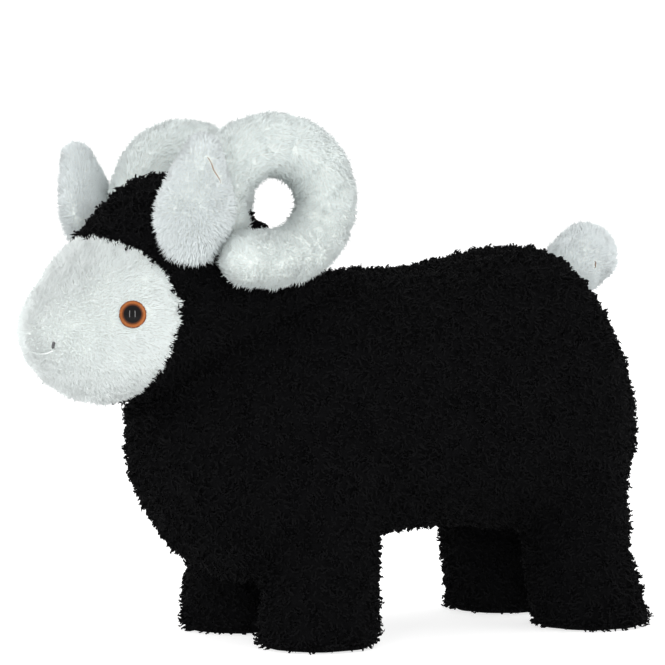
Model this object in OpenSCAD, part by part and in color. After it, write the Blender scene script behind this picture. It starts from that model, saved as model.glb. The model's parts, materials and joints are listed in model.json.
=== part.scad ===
// Stuffed plush ram: a curly fleece body on four short legs, a white face, leaf ears,
// curled horns and a stub tail. +Z is up, -X is the way the ram faces, and Y = 0 is its plane
// of symmetry. The origin is on the floor, under the middle of its length.

/* [Body] */
// Width of the body at its widest
body_w = 132; // [126:1:140]
// Radius of a leg at the foot
leg_r = 27; // [25:0.5:28]
// Distance between the front and hind leg centres
leg_pitch = 150; // [142:1:156]
// Distance between the left and right leg centres
leg_track = 75; // [72:1:80]
// Thickness of the fleece fabric with its pressed pile
skin = 4; // [3:0.5:5]
// Thickness of a sole
sole_t = 3; // [2:0.5:4]

/* [Head] */
// Width of the head behind the face seam
head_w = 88; // [84:1:92]
// Diameter of an eye
eye_d = 12; // [10:0.5:14]
// Height of an ear
ear_h = 58; // [50:1:60]
// Width of an ear
ear_w = 35; // [30:1:38]

/* [Horns and tail] */
// Radius of a horn's tube at its thickest
horn_r = 13.4; // [12:0.2:14]
// Radius of the loop that the horn's centre line follows
horn_loop = 25; // [24:0.5:27]
// Radius of the tail at its tip
tail_r = 14; // [12:0.5:16]

/* [Hidden] */
// Gap between neighbouring pieces of cloth
gap = 0.3;
// Gap between cloth and filling, wider than the sag of their facets
slack = 0.8;
// Gap round a part that swings in its seam
swing_gap = 0.8;
// How far the middle of the legs lies behind the origin
mid_x = 43;
front_x = mid_x - leg_pitch / 2;
hind_x = mid_x + leg_pitch / 2;
leg_y = leg_track / 2;

// Stations along the torso: x, height of the widest point, rise, drop, share of the width
TORSO = [
    [-100, 94, 0, 0, 0],
    [-96, 94, 24, 22, 0.4],
    [-85, 94, 43, 42, 0.67],
    [-67, 95, 60, 62, 0.85],
    [-40, 97, 70, 69, 0.95],
    [0, 98, 71, 52, 0.99],
    [43, 98, 72, 47.5, 1],
    [83, 99, 80, 51, 1],
    [109, 100, 79, 57, 0.97],
    [125, 98, 60, 51, 0.88],
    [137.5, 95, 35, 36, 0.68],
    [146.5, 93, 16, 17, 0.38],
    [148.5, 92, 0, 0, 0]
];
// Stations along the head and neck, the same way, from the nose back into the shoulders
HEAD = [
    [-159, 143, 0, 0, 0],
    [-156, 143, 10, 9, 0.3],
    [-149, 144, 18, 18.5, 0.52],
    [-137, 146, 29, 29.5, 0.75],
    [-121, 150, 42, 36.5, 0.92],
    [-105, 154, 54.5, 40, 1],
    [-88, 158, 56, 40, 1],
    [-70, 158, 49, 38, 0.98],
    [-50, 152, 40, 36, 0.95],
    [-31, 146, 32, 34, 0.9],
    [-14, 142, 22, 22, 0.8],
    [-8, 140, 0, 0, 0]
];

// --- Rounded bodies lofted along X ---

// A station past either end repeats its neighbour upside down, which rounds the end
function flipped(r) = [r[0], r[1], -r[2], -r[3], -r[4]];
function station(T, i) =
    i < 0 ? flipped(T[-i]) : i > len(T) - 1 ? flipped(T[2 * len(T) - 2 - i]) : T[i];
// A smooth curve through the stations, at index u
function station_at(T, u) =
    let (i = min(floor(u), len(T) - 2), f = u - i)
    let (a = station(T, i - 1), b = station(T, i), c = station(T, i + 1), d = station(T, i + 2))
    (2 * b + (c - a) * f + (2 * a - 5 * b + 4 * c - d) * f ^ 2
        + (3 * b - a - 3 * c + d) * f ^ 3) / 2;
// A sine with its shoulders filled out, for sections that are fuller than an ellipse
fullness = 2.3;
function full(s) = sign(s) * abs(s) ^ (2 / fullness);

// A body is its stations, half width, middle and half extents
torso = [TORSO, body_w / 2, [26, 0, 102], [127, body_w / 2, 75]];
head = [HEAD, head_w / 2, [-84, 0, 156], [75, head_w / 2, 54]];
// The point of body B at station index u and at angle a from the top, turning towards +Y,
// pressed in by t towards the body's middle
function body_point(B, u, a, t) =
    let (r = station_at(B[0], u), rise = cos(a) > 0 ? r[2] : r[3])
    let (p = [r[0], B[1] * r[4] * full(sin(a)), r[1] + rise * full(cos(a))])
    [for (k = [0:2]) B[2][k] + (p[k] - B[2][k]) * (1 - t / B[3][k])];

// A closed solid from rings of points between two end points
module closed_rings(rings, first, last) {
    n = len(rings[0]);
    m = len(rings);
    back = 2 + (m - 1) * n;
    front_cap = [for (j = [0:n - 1]) [0, 2 + j, 2 + (j + 1) % n]];
    back_cap = [for (j = [0:n - 1]) [1, back + (j + 1) % n, back + j]];
    sides = [
        for (i = [0:m - 2], j = [0:n - 1])
        let (a = 2 + i * n + j, b = 2 + i * n + (j + 1) % n)
        each [[a, a + n, b], [b, a + n, b + n]]
    ];
    polyhedron(concat([first, last], [for (r = rings) each r]), concat(front_cap, sides, back_cap));
}

// A sheet of cloth from its outer and inner grids of points, closed round its edge
module sheet(outer, inner) {
    m = len(outer);
    n = len(outer[0]);
    to_inner = m * n;
    faces = [
        for (i = [0:m - 2], j = [0:n - 2])
        let (a = i * n + j, b = a + 1, c = a + n, d = a + n + 1, k = to_inner)
        each [[a, c, b], [b, c, d], [a + k, b + k, c + k], [b + k, d + k, c + k]]
    ];
    edge = concat(
        [for (j = [0:n - 2]) [j, j + 1]],
        [for (i = [0:m - 2]) [i * n + n - 1, (i + 1) * n + n - 1]],
        [for (j = [0:n - 2]) [m * n - 1 - j, m * n - 2 - j]],
        [for (i = [0:m - 2]) [(m - 1 - i) * n, (m - 2 - i) * n]]
    );
    walls = [
        for (e = edge) let (a = e[0], b = e[1], k = to_inner)
        each [[a, b, a + k], [b, b + k, a + k]]
    ];
    polyhedron(concat([for (r = outer) each r], [for (r = inner) each r]), concat(faces, walls));
}

module lofted(B, steps, sides, t) {
    last = len(B[0]) - 1;
    closed_rings(
        [for (i = [1:steps - 1]) [for (j = [0:sides - 1])
            body_point(B, i * last / steps, -j * 360 / sides, t)]],
        body_point(B, 0, 0, t),
        body_point(B, last, 0, t)
    );
}

// Everything on the other side of the plane of symmetry, and half a seam's gap on this one
module other_side(side) {
    translate([-200, side < 0 ? -gap / 2 : -200, -1]) cube([400, 200 + gap / 2, 300]);
}

// Puts a left part on its side, or its mirror image on the right
module on_side(side) {
    if (side < 0) {
        children();
    } else {
        mirror([0, 1, 0]) children();
    }
}

// --- Body ---

// The belly gusset ends below this height, where its points meet the side panels
gusset_top_z = 92;
// Leg sections from the floor up: height, share of the foot's radius, share of the lean
LEG = [[0, 1, 0], [34, 0.92, 0.75], [76, 0.88, 1]];
// How far the top of a leg leans forward; a front leg's leans back
front_lean = -2.5;
hind_lean = 10;
disc_h = 2;

// One leg as a solid, with its foot cut at height z and its wall pressed in by t
module leg(x, y, z, t, lean) {
    for (i = [0:1]) {
        hull() {
            for (s = [LEG[i], LEG[i + 1]]) {
                translate([x - lean * s[2], y, max(z, s[0])])
                    cylinder(h = disc_h, r = leg_r * s[1] - t, $fn = 24);
            }
        }
    }
}

// Torso and legs in one
module body_mass(steps, sides, t, z) {
    lofted(torso, steps, sides, t);
    for (y = [-leg_y, leg_y]) {
        leg(front_x, y, z, t, front_lean);
        leg(hind_x, y, z, t, hind_lean);
    }
}

module body_cloth() {
    difference() {
        body_mass(18, 24, 0, sole_t + gap);
        body_mass(14, 18, skin, 0);
        tail_room();
    }
}

// The strip under the belly that the gusset fills, with each edge moved in by inset
module gusset_strip(inset) {
    half = leg_y - inset;
    translate([0, 0, -1]) linear_extrude(gusset_top_z - inset + 1)
        polygon([[-104, 0], [-70, -half], [124, -half], [160, 0], [124, half], [-70, half]]);
}

module body_side(side) {
    color("#17171a") difference() {
        body_cloth();
        gusset_strip(-gap / 2);
        other_side(side);
    }
}

module belly_gusset() {
    color("#17171a") intersection() {
        body_cloth();
        gusset_strip(gap / 2);
    }
}

module body_filling() {
    color("ivory") difference() {
        body_mass(14, 18, skin + slack, sole_t + gap);
        tail_room();
    }
}

module sole(x, y) {
    color("#17171a") translate([x, y, 0]) cylinder(h = sole_t, r = leg_r, $fn = 96);
}

// --- Head ---

// Station index where the face panels end: over the forehead, at the side and under the chin
face_end_top = 3.5;
face_end_side = 5;
face_end_chin = 4.3;
function face_end(a) =
    face_end_side + ((cos(a) > 0 ? face_end_top : face_end_chin) - face_end_side) * abs(cos(a));
face_steps = 11;
face_cols = 12;
function face_grid(t) = [
    for (i = [0:face_steps]) [for (j = [0:face_cols])
        let (a = j * 180 / face_cols, p = body_point(head, i / face_steps * face_end(a), -a, t))
        [p[0], min(p[1], -gap / 2), p[2]]]
];

module face(side) {
    color("#eef0ee") difference() {
        on_side(side) sheet(face_grid(0), face_grid(skin));
        eye_axis(side) {
            translate([0, 0, -2 * skin]) cylinder(h = 3 * skin, r = shank_r + shank_play, $fn = 48);
            translate([0, 0, -gap]) cylinder(h = 2 * skin, r = eye_d / 2 + gap, $fn = 48);
        }
    }
}

// Everything in front of the face seam, as a solid that reaches out past the cloth and back to
// a point inside the head, with the seam's gap as a share of a station
room_out = 8;
room_gap = 0.08;
room_point = [-98, 0, 152];
module face_room() {
    closed_rings(
        [for (i = [1:face_steps]) [for (j = [0:2 * face_cols - 1]) let (a = -j * 180 / face_cols)
            body_point(head, i / face_steps * face_end(a) + room_gap, a, -room_out)]],
        body_point(head, 0, 0, -room_out),
        room_point
    );
}

module hood(side) {
    color("#17171a") difference() {
        lofted(head, 16, 24, 0);
        lofted(head, 14, 18, skin);
        body_mass(18, 24, -gap, 0);
        face_room();
        on_side(side) horn_room();
        on_side(side) ear_room();
        other_side(side);
    }
}

module head_filling() {
    color("ivory") difference() {
        lofted(head, 14, 18, skin + slack);
        body_mass(18, 24, -gap, 0);
        for (side = [-1, 1]) {
            on_side(side) horn_room();
            on_side(side) ear_room();
            eye_axis(side) translate([0, 0, -shank_l - 1])
                cylinder(h = shank_l + 2, r = washer_r + gap, $fn = 24);
        }
    }
}

// --- Eyes ---

// Place on the left of the head, and the heading and rise of the way it looks
eye_point = body_point(head, 3.69, -87, 0);
eye_turn = 62;
eye_rise = 4;
shank_r = 2;
shank_l = 11;
shank_play = 0.2;
washer_r = 7;
washer_h = 1.2;
// How far behind the face's surface the washer sits
washer_depth = 8;
// Rim height and rise of the dome, and share of the radius that the pupil takes
dome_rim = 0.8;
dome_rise = 3;
pupil_share = 0.72;

// Puts the flat back of an eye on the face, with its dome along +Z
module eye_axis(side) {
    translate([eye_point[0], -side * eye_point[1], eye_point[2]])
        rotate([0, 0, 180 - side * eye_turn])
            rotate([0, 90 - eye_rise, 0])
                children();
}
// The dome's outline between two angles from its rim
function dome_arc(from, to) = [
    for (a = [from:(to - from) / 8:to]) [eye_d / 2 * cos(a), dome_rim + dome_rise * sin(a)]
];

module eye_iris(side) {
    inner = acos(pupil_share + 0.01);
    color("#c9661f") eye_axis(side) rotate_extrude($fn = 64)
        polygon(concat([[eye_d / 2 * cos(inner), 0], [eye_d / 2, 0]], dome_arc(0, inner)));
}

module eye_pupil(side) {
    outer = acos(pupil_share);
    color("#1c1411") eye_axis(side) rotate_extrude($fn = 64)
        polygon(concat(
            [[0, -shank_l], [shank_r, -shank_l], [shank_r, 0], [eye_d / 2 * pupil_share, 0]],
            dome_arc(outer, 90)
        ));
}

module eye_washer(side) {
    color("white") eye_axis(side) translate([0, 0, -washer_depth]) difference() {
        cylinder(h = washer_h, r = washer_r, $fn = 64);
        translate([0, 0, -1]) cylinder(h = 4, r = shank_r + 0.05, $fn = 64);
    }
}

// --- Stitches on the muzzle ---

thread_r = 0.4;
stitch_r = 0.65;
function unit(v) = v / norm(v);
// A thread of radius r along points on the head, given as station index and angle from the top
module thread(route, r) {
    p = [for (q = route) body_point(head, q[0], q[1], -r - 0.2)];
    n = len(p) - 1;
    along = [for (i = [0:n]) unit(p[min(i + 1, n)] - p[max(i - 1, 0)])];
    closed_rings(
        [for (i = [0:n])
            let (out = unit(p[i] - head[2]), v = unit(cross(along[i], out)), w = cross(along[i], v))
            [for (j = [0:7]) p[i] + r * (cos(45 * j) * v + sin(45 * j) * w)]],
        p[0] - r * along[0],
        p[n] + r * along[n]
    );
}

module mouth_thread() {
    color("#8d8f90") thread([for (k = [-6:6]) [0.9 + 0.6 * (abs(k) / 6) ^ 1.5, 180 - 10 * k]], thread_r);
}

module mouth_stitch(side) {
    color("#2c2c2e") thread([for (a = [104, 109, 114]) [1.47, side * a]], stitch_r);
}

// --- Stuffed pods: horns, ears and tail ---
// A pod follows a centre line from a round base to a round tip. A frame function gives, at the
// share s of its length, the centre, the direction along, two directions across, and the half
// sizes along each of the two and of the caps.

base_cap = [-75, -50, -25];
open_base = [-50, -25];
tip_cap = [25, 50, 75];
seam_angle = 0.7;
// Rows of a pod's surface: share of the length, and angle round a cap
function pod_rows(from, to, steps, caps) = concat(
    [for (b = caps) [from, b]], [for (i = [0:steps]) [from + (to - from) * i / steps, 0]],
    [for (b = tip_cap) [to, b]]
);
function pod_point(F, row, a, t) =
    let (f = F(row[0]), across = (f[4] - t) * cos(a) * f[2] + (f[5] - t) * sin(a) * f[3])
    f[0] + (f[6] - t) * sin(row[1]) * f[1] + cos(row[1]) * across;

// A pod up to the share `to` of its length as one closed solid, pressed in by t
module pod(F, to, steps, sides, t) {
    first = F(0);
    last = F(to);
    closed_rings(
        [for (row = pod_rows(0, to, steps, base_cap)) [for (j = [0:sides - 1])
            pod_point(F, row, -j * 360 / sides, t)]],
        first[0] - (first[6] - t) * first[1],
        last[0] + (last[6] - t) * last[1]
    );
}

// Half of a pod's cloth, on the side of its second direction across, or on the other one
module pod_panel(F, steps, cols, t, other) {
    rows = concat(pod_rows(0, 1, steps, open_base), [[1, 88]]);
    turn = other ? 180 : 0;
    grid = function(inset) [for (row = rows) [for (j = [0:cols])
        pod_point(F, row, turn + 180 - seam_angle - j * (180 - 2 * seam_angle) / cols, inset)]];
    sheet(grid(0), grid(t));
}

// The room that a swinging pod's base needs: the pod a little swollen, at a few angles
module swing_room(F, to, sides, axis, angles) {
    pivot = F(0)[0];
    for (angle = angles) {
        translate(pivot) rotate(a = angle, v = axis) translate(-pivot)
            pod(F, to, 2, sides, -swing_gap);
    }
}

// The left horn's centre line goes once round its loop, moving outward on the way
horn_x = -58.6;
horn_z = 201;
horn_from = 205;
horn_turn = -334;
horn_base_y = 35.6;
horn_out = 21;
// How much thinner the tube is at the horn's tip
horn_taper = 2;
// Shares of the loop's radius that the root, the far bend and the tip add, and that the lower bend
// takes away
root_wide = 0.05;
bend_wide = 0.05;
tip_wide = 0.28;
horn_narrow = 2.2;
horn_skin = 3;
horn_swing = [-8, 2];
function horn_centre(s) =
    let (a = horn_from + horn_turn * s)
    let (wide = root_wide * (1 - s) ^ 12 + bend_wide * sin(180 * s) ^ 4 + tip_wide * s ^ 8)
    let (narrow = horn_narrow * s ^ 5 * (1 - s))
    let (r = horn_loop * (1 + wide - narrow))
    [horn_x + r * cos(a), -horn_base_y - horn_out * s, horn_z + r * sin(a)];
horn_frame = function(s)
    let (along = unit(horn_centre(s + 0.001) - horn_centre(s - 0.001)))
    let (lateral = unit([0, -1, 0] + along[1] * along), radial = cross(along, lateral))
    let (r = horn_r - horn_taper * s ^ 2)
    [horn_centre(s), along, radial, lateral, r, r, r];

module horn_room() {
    swing_room(horn_frame, 0.12, 14, [1, 0, 0], horn_swing);
}

module horn_panel(side, outer) {
    color("#f2f1ea") on_side(side) pod_panel(horn_frame, 20, 7, horn_skin, !outer);
}

module horn_filling(side) {
    color("ivory") on_side(side) pod(horn_frame, 1, 18, 12, horn_skin + slack);
}

// The left ear stands up from the side of the head, leaning outward, and faces a little forward
ear_base = [-101.5, -45.5, 181.5];
ear_tilt = 23;
ear_turn = 21;
ear_base_w = 10;
ear_base_d = 6.5;
ear_tip_cap = 8;
ear_skin = 2.5;
// How much narrower each half of the ear is at its tip, and the width's steepness near the base
ear_taper = 10;
ear_flare = 210;
ear_swing = [-5, 12, 30];
ear_side = [cos(ear_turn), -sin(ear_turn), 0];
ear_up = unit([-0.06, -sin(ear_tilt), cos(ear_tilt)]);
ear_length = ear_h - ear_base_d - ear_tip_cap;
ear_frame = function(s)
    let (across = unit(ear_side - (ear_side * ear_up) * ear_up), widest = sin(min(90, s * ear_flare)))
    let (half_w = ear_base_w + (ear_w / 2 - ear_base_w) * widest - ear_taper * s ^ 2.5)
    let (half_d = ear_base_d + 0.8 * sin(180 * s) - s)
    let (cap = ear_base_d + (ear_tip_cap - ear_base_d) * s)
    [ear_base + s * ear_length * ear_up, ear_up, across, cross(across, ear_up), half_w, half_d, cap];

module ear_room() {
    swing_room(ear_frame, 0.2, 12, ear_side, ear_swing);
}

module ear_panel(side, front) {
    color("#e9ecf2") on_side(side) pod_panel(ear_frame, 9, 7, ear_skin, !front);
}

module ear_padding(side) {
    color("ivory") on_side(side) pod(ear_frame, 1, 8, 12, ear_skin + slack);
}

// The tail is a short stub that points up and back from the rump
tail_base = [130, 0, 168];
tail_rise = 38;
tail_length = 15;
tail_skin = 3;
tail_swing = [-20, 0, 20];
tail_along = [cos(tail_rise), 0, sin(tail_rise)];
tail_over = [-sin(tail_rise), 0, cos(tail_rise)];
tail_frame = function(s)
    let (r = tail_r - 1.5 + 1.5 * s)
    [tail_base + s * tail_length * tail_along, tail_along, tail_over, [0, 1, 0], r, r, r];

module tail_room() {
    swing_room(tail_frame, 0.3, 16, [0, 1, 0], tail_swing);
}

module tail_panel(side) {
    color("#eeeeee") pod_panel(tail_frame, 4, 9, tail_skin, side < 0);
}

module tail_filling() {
    color("ivory") pod(tail_frame, 1, 3, 16, tail_skin + slack);
}

body_side(-1);  // body_side_left
body_side(1);  // body_side_right
belly_gusset();
body_filling();
sole(front_x, -leg_y);  // sole_front_left
sole(front_x, leg_y);  // sole_front_right
sole(hind_x, -leg_y);  // sole_hind_left
sole(hind_x, leg_y);  // sole_hind_right
hood(-1);  // hood_left
hood(1);  // hood_right
face(-1);  // face_left
face(1);  // face_right
head_filling();
mouth_thread();
mouth_stitch(-1);  // mouth_stitch_left
mouth_stitch(1);  // mouth_stitch_right
eye_iris(-1);  // eye_iris_left
eye_pupil(-1);  // eye_pupil_left
eye_washer(-1);  // eye_washer_left
eye_iris(1);  // eye_iris_right
eye_pupil(1);  // eye_pupil_right
eye_washer(1);  // eye_washer_right
horn_panel(-1, true);  // horn_left_outer_panel
horn_panel(-1, false);  // horn_left_inner_panel
horn_filling(-1);  // horn_left_filling
horn_panel(1, true);  // horn_right_outer_panel
horn_panel(1, false);  // horn_right_inner_panel
horn_filling(1);  // horn_right_filling
ear_panel(-1, true);  // ear_left_front_panel
ear_panel(-1, false);  // ear_left_back_panel
ear_padding(-1);  // ear_left_padding
ear_panel(1, true);  // ear_right_front_panel
ear_panel(1, false);  // ear_right_back_panel
ear_padding(1);  // ear_right_padding
tail_panel(-1);  // tail_panel_left
tail_panel(1);  // tail_panel_right
tail_filling();
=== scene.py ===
"""Visual model of the stuffed plush ram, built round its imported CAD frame.

The body and head are one skin, remeshed from the CAD's sheets and stuffed by a short cloth
simulation. The horns, ears and tail are remeshed too, and shaped by displacement. Each panel then
grows its pile as closed fibres. Metres, +Z up; the ram faces -X and its left side is -Y.
"""
import json
import math

import bmesh
import bpy
import numpy as np
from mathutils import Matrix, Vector
from mathutils.bvhtree import BVHTree
from mathutils.kdtree import KDTree

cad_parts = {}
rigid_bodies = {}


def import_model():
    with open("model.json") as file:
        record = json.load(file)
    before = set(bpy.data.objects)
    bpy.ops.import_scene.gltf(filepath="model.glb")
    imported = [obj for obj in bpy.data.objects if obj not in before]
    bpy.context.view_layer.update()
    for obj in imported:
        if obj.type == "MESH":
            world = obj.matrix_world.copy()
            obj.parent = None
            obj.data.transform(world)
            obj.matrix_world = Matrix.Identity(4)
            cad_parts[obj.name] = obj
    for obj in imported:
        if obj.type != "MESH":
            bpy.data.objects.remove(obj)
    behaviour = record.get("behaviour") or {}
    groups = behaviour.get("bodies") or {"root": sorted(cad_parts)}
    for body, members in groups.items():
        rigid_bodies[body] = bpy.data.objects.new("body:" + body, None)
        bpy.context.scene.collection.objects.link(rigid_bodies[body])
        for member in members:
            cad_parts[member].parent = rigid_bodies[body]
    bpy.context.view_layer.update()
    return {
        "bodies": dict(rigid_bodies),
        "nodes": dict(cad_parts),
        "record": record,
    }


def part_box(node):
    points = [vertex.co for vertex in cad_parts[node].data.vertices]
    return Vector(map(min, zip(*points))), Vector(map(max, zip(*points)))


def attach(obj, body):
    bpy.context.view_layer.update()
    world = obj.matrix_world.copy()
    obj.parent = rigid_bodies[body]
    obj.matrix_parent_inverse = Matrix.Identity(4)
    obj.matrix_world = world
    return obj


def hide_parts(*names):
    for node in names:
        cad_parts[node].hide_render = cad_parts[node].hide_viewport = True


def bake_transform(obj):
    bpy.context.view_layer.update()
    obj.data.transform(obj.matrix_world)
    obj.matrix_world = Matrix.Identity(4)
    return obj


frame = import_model()

MM = 0.001
SIDES = {"left": -1, "right": 1}
UP = np.array([0.0, 0.0, 1.0])
LEFTWARD = np.array([0.0, -1.0, 0.0])

# CAD nodes of the body and head, by the kind of panel
BODY = ["body_side_left", "body_side_right", "belly_gusset"]
HOOD = ["hood_left", "hood_right"]
FACE = ["face_left", "face_right"]
SOLES = ["sole_front_left", "sole_front_right", "sole_hind_left", "sole_hind_right"]

# Remeshing: the size of a voxel, and how many rounds smooth the result
BODY_VOXEL = 3.4 * MM
BODY_SMOOTHING = 4
POD_VOXEL = 1.7 * MM
POD_SMOOTHING = 3
# Seams: how far they are pulled in, and how wide
SEAM_DEPTH = 1.1 * MM
SEAM_WIDTH = 1.6 * MM
POD_SEAM_DEPTH = 0.5 * MM
POD_SEAM_WIDTH = 1.4 * MM
FLOOR_CLEARANCE = 0.25 * MM


# --- Small vector helpers on arrays of points ---

def unit(v):
    return v / np.maximum(np.linalg.norm(v, axis=-1, keepdims=True), 1e-12)


def dot(a, b):
    return (a * b).sum(-1, keepdims=True)


def tangent(v, normals):
    """The share of v that lies along the surface."""
    return v - dot(v, normals) * normals


def wobble(points, wavelength, seed):
    """A smooth random value from about -1 to 1 at each point."""
    rng = np.random.default_rng(seed)
    waves = unit(rng.normal(size=(6, 3))) * (2 * math.pi / wavelength)
    waves *= rng.uniform(0.6, 1.5, (6, 1))
    return np.sin(points @ waves.T + rng.uniform(0, 2 * math.pi, 6)).mean(1) * 1.8


def drift(points, wavelength, seed):
    """A smooth random vector at each point."""
    return np.stack([wobble(points, wavelength, seed + k) for k in range(3)], 1)


def node_points(name):
    return np.array([v.co for v in frame["nodes"][name].data.vertices])


def corner_box(names):
    """The lowest and highest corners of several CAD nodes together."""
    boxes = [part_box(name) for name in names]
    low = np.min([np.array(b[0]) for b in boxes], axis=0)
    high = np.max([np.array(b[1]) for b in boxes], axis=0)
    return low, high


def joint_named(name):
    return next(j for j in frame["record"]["behaviour"]["joints"] if j["name"] == name)


# --- Materials ---

def new_material(name):
    material = bpy.data.materials.new(name)
    material.use_nodes = True
    nodes = material.node_tree.nodes
    return material, nodes, material.node_tree.links, nodes["Principled BSDF"]


def colour_ramp(nodes, stops):
    ramp = nodes.new("ShaderNodeValToRGB")
    elements = ramp.color_ramp.elements
    for _ in range(len(stops) - 2):
        elements.new(0.5)
    for element, (place, colour) in zip(elements, stops):
        element.position = place
        element.color = (*colour, 1)
    return ramp


def object_noise(nodes, links, scale, detail=3.0):
    place = nodes.new("ShaderNodeTexCoord")
    noise = nodes.new("ShaderNodeTexNoise")
    noise.inputs["Scale"].default_value = scale
    noise.inputs["Detail"].default_value = detail
    links.new(place.outputs["Object"], noise.inputs["Vector"])
    return noise


def pile_material(name, root, middle, tip, roughness, specular, glow, patch_scale, patches):
    """Fibres that change colour from root to tip, and in soft patches over the cloth.

    glow is the share of the light that passes into the fibres.
    """
    material, nodes, links, shader = new_material(name)
    height = nodes.new("ShaderNodeAttribute")
    height.attribute_name = "height"
    ramp = colour_ramp(nodes, [(0.0, root), (0.45, middle), (1.0, tip)])
    links.new(height.outputs["Fac"], ramp.inputs["Fac"])
    shade = nodes.new("ShaderNodeAttribute")
    shade.attribute_name = "shade"
    cloudy = object_noise(nodes, links, patch_scale)
    spread = nodes.new("ShaderNodeMath")
    spread.operation = "MULTIPLY_ADD"
    spread.inputs[1].default_value = patches
    links.new(cloudy.outputs["Fac"], spread.inputs[0])
    links.new(shade.outputs["Fac"], spread.inputs[2])
    value = nodes.new("ShaderNodeHueSaturation")
    links.new(spread.outputs["Value"], value.inputs["Value"])
    links.new(ramp.outputs["Color"], value.inputs["Color"])
    links.new(value.outputs["Color"], shader.inputs["Base Color"])
    shader.inputs["Roughness"].default_value = roughness
    shader.inputs["Specular IOR Level"].default_value = specular
    shader.inputs["Subsurface Weight"].default_value = glow
    shader.inputs["Subsurface Radius"].default_value = (1, 1, 1)
    shader.inputs["Subsurface Scale"].default_value = 1.0 * MM
    return material


def cloth_material(name, dark, light, roughness, specular, scale, bump):
    """The knitted backing that shows between fibres: mottled colour and a tufted relief."""
    material, nodes, links, shader = new_material(name)
    mottle = object_noise(nodes, links, scale)
    ramp = colour_ramp(nodes, [(0.3, dark), (0.7, light)])
    links.new(mottle.outputs["Fac"], ramp.inputs["Fac"])
    links.new(ramp.outputs["Color"], shader.inputs["Base Color"])
    tufts = nodes.new("ShaderNodeTexVoronoi")
    tufts.inputs["Scale"].default_value = scale * 1.6
    links.new(mottle.inputs["Vector"].links[0].from_socket, tufts.inputs["Vector"])
    relief = nodes.new("ShaderNodeBump")
    relief.inputs["Strength"].default_value = bump
    relief.inputs["Distance"].default_value = 0.6 * MM
    links.new(tufts.outputs["Distance"], relief.inputs["Height"])
    links.new(relief.outputs["Normal"], shader.inputs["Normal"])
    shader.inputs["Roughness"].default_value = roughness
    shader.inputs["Specular IOR Level"].default_value = specular
    return material


def eye_material(name, stops, streaks, gloss):
    """Moulded clear plastic over a coloured disc. The colour follows the share of the radius."""
    material, nodes, links, shader = new_material(name)
    radius = nodes.new("ShaderNodeAttribute")
    radius.attribute_name = "radius"
    grain = object_noise(nodes, links, 900.0, 2.0)
    shifted = nodes.new("ShaderNodeMath")
    shifted.operation = "MULTIPLY_ADD"
    shifted.inputs[1].default_value = streaks
    links.new(grain.outputs["Fac"], shifted.inputs[0])
    links.new(radius.outputs["Fac"], shifted.inputs[2])
    ramp = colour_ramp(nodes, stops)
    links.new(shifted.outputs["Value"], ramp.inputs["Fac"])
    links.new(ramp.outputs["Color"], shader.inputs["Base Color"])
    shader.inputs["Roughness"].default_value = 0.3
    shader.inputs["Specular IOR Level"].default_value = 0.0
    shader.inputs["Coat Weight"].default_value = gloss
    shader.inputs["Coat Roughness"].default_value = 0.03
    return material


def thread_material(name, dark, light):
    """Twisted cotton thread."""
    material, nodes, links, shader = new_material(name)
    place = nodes.new("ShaderNodeTexCoord")
    twist = nodes.new("ShaderNodeTexWave")
    twist.bands_direction = "DIAGONAL"
    twist.inputs["Scale"].default_value = 900.0
    twist.inputs["Distortion"].default_value = 1.5
    links.new(place.outputs["Object"], twist.inputs["Vector"])
    ramp = colour_ramp(nodes, [(0.2, dark), (0.8, light)])
    links.new(twist.outputs["Fac"], ramp.inputs["Fac"])
    links.new(ramp.outputs["Color"], shader.inputs["Base Color"])
    relief = nodes.new("ShaderNodeBump")
    relief.inputs["Strength"].default_value = 0.6
    relief.inputs["Distance"].default_value = 0.15 * MM
    links.new(twist.outputs["Fac"], relief.inputs["Height"])
    links.new(relief.outputs["Normal"], shader.inputs["Normal"])
    shader.inputs["Roughness"].default_value = 0.7
    return material


def moulded_material(name, dark, light):
    """Plain moulded plastic with a faint grain."""
    material, nodes, links, shader = new_material(name)
    grain = object_noise(nodes, links, 1500.0)
    ramp = colour_ramp(nodes, [(0.3, dark), (0.7, light)])
    links.new(grain.outputs["Fac"], ramp.inputs["Fac"])
    links.new(ramp.outputs["Color"], shader.inputs["Base Color"])
    shader.inputs["Roughness"].default_value = 0.4
    return material


FLEECE_CLOTH = cloth_material(
    "fleece_cloth", (0.0022, 0.0022, 0.0024), (0.0034, 0.0034, 0.0038), 0.95, 0.02, 420.0, 0.9)
FLEECE_PILE = pile_material(
    "fleece_pile", (0.0022, 0.0022, 0.0024), (0.0029, 0.0029, 0.0032), (0.0043, 0.0043, 0.0049),
    0.8, 0.05, 0.0, 60.0, 0.35)
WHITE_CLOTH = cloth_material(
    "white_cloth", (0.76, 0.80, 0.77), (0.80, 0.84, 0.82), 0.95, 0.1, 300.0, 0.5)
# The white piles' tips are painted a little darker than their middles, as painted shade that tones
# down stray fibres standing up into the front lights.
FACE_PILE = pile_material(
    "face_pile", (0.90, 0.96, 0.935), (0.91, 0.98, 0.965), (0.885, 0.955, 0.94),
    0.8, 0.1, 0.3, 45.0, 0.03)
HORN_PILE = pile_material(
    "horn_pile", (0.80, 0.86, 0.815), (0.815, 0.90, 0.885), (0.775, 0.86, 0.85),
    0.8, 0.1, 0.3, 55.0, 0.03)
# The ear's pile is painted darker than the face's, as painted shade against the front lights that
# fall most on the near ear. The tail wears it too.
SHADED_EAR_PILE = pile_material(
    "ear_pile", (0.765, 0.825, 0.825), (0.785, 0.855, 0.86), (0.755, 0.825, 0.835),
    0.8, 0.1, 0.3, 70.0, 0.03)
AMBER = eye_material(
    "amber_eye",
    [(0.72, (0.05, 0.012, 0.003)), (0.82, (0.26, 0.075, 0.016)), (0.95, (0.38, 0.115, 0.028)),
     (1.0, (0.16, 0.045, 0.015))], 0.10, 0.4)
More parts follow.
